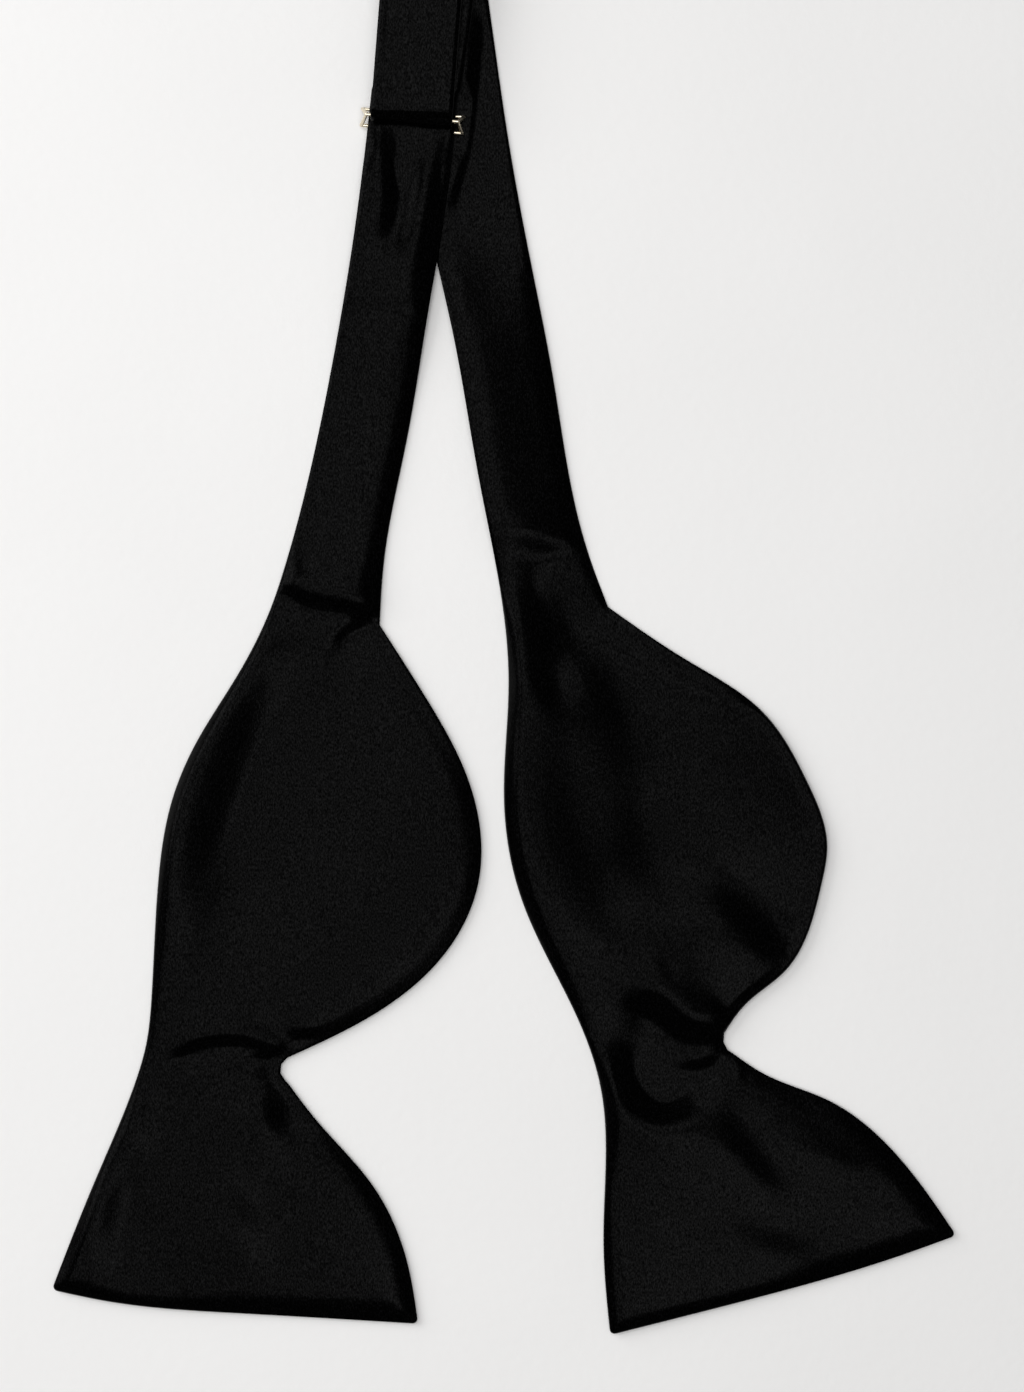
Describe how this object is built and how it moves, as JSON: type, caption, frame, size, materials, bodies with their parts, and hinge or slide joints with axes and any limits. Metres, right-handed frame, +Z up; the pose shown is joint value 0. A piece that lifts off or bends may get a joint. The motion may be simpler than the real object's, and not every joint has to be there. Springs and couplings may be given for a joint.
{
  "type": "self-tie bow tie",
  "caption": "Untied butterfly bow tie lying flat: two waisted satin blades on a folded neckband joined by a wire hook, a ring and a slide that sets the neck size.",
  "frame": {"origin": "middle of the bounding box, on the underside that lies on the table", "axes": "+Z up from the table, +Y from the blades towards the fold at the back of the neck, +X across, from the hooked-on half towards the half with the hook"},
  "size_m": [0.2, 0.396, 0.0062],
  "materials": {
    "black_satin": "black satin with a soft broad sheen",
    "interlining": "matt woven canvas",
    "black_thread": "polyester thread",
    "nickel_wire": "pale champagne plating, polished"
  },
  "bodies": {
    "right_half": {"right_half_back": "black_satin", "right_half_interlining": "interlining", "right_half_front": "black_satin", "neck_fold_back": "black_satin", "neck_fold_interlining": "interlining", "neck_fold_front": "black_satin"},
    "hook_strap": {"hook_strap_back": "black_satin", "hook_strap_interlining": "interlining", "hook_strap_front": "black_satin", "hook_end_back": "black_satin", "hook_end_interlining": "interlining", "hook_end_front": "black_satin", "strap_hook": "nickel_wire", "hook_tack": "black_thread"},
    "eye_ring": {"eye_ring": "nickel_wire"},
    "strap_loop": {"ring_loop_back": "black_satin", "ring_loop_interlining": "interlining", "ring_loop_front": "black_satin", "back_leaf_back": "black_satin", "back_leaf_interlining": "interlining", "back_leaf_front": "black_satin", "front_leaf_back": "black_satin", "front_leaf_interlining": "interlining", "front_leaf_front": "black_satin"},
    "left_half": {"left_half_back": "black_satin", "left_half_interlining": "interlining", "left_half_front": "black_satin"},
    "slide": {"leaf_end_back": "black_satin", "leaf_end_interlining": "interlining", "leaf_end_front": "black_satin", "leaf_tack": "black_thread", "slide_adjuster": "nickel_wire"}
  },
  "joints": [
    {"name": "neck_fold", "type": "hinge", "parent": "right_half", "child": "hook_strap", "pos_m": [-0.01018, 0.1957, 0.00155], "axis": [-0.9968, 0.0797, 0], "range_deg": [0, 180], "deforming": ["neck_fold_back", "neck_fold_interlining", "neck_fold_front"]},
    {"name": "hook_release", "type": "slide", "parent": "hook_strap", "child": "eye_ring", "axis": [0.0797, 0.9968, 0], "range_m": [0, 0.0035]},
    {"name": "ring_pivot", "type": "hinge", "parent": "eye_ring", "child": "strap_loop", "pos_m": [-0.01382, 0.15024, 0.00415], "axis": [-0.9968, 0.0797, 0], "range_deg": [0, 90]},
    {"name": "slide_travel", "type": "slide", "parent": "strap_loop", "child": "slide", "axis": [0.0797, 0.9968, 0], "range_m": [-0.004, 0.06], "deforming": ["front_leaf_back", "front_leaf_interlining", "front_leaf_front"]},
    {"name": "band_feed", "type": "slide", "parent": "strap_loop", "child": "left_half", "axis": [0.0797, 0.9968, 0], "range_m": [-0.06, 0.004], "deforming": ["back_leaf_back", "back_leaf_interlining", "back_leaf_front"]}
  ],
  "couplings": [
    {"joint": "band_feed", "follows": "slide_travel", "ratio": -1}
  ]
}
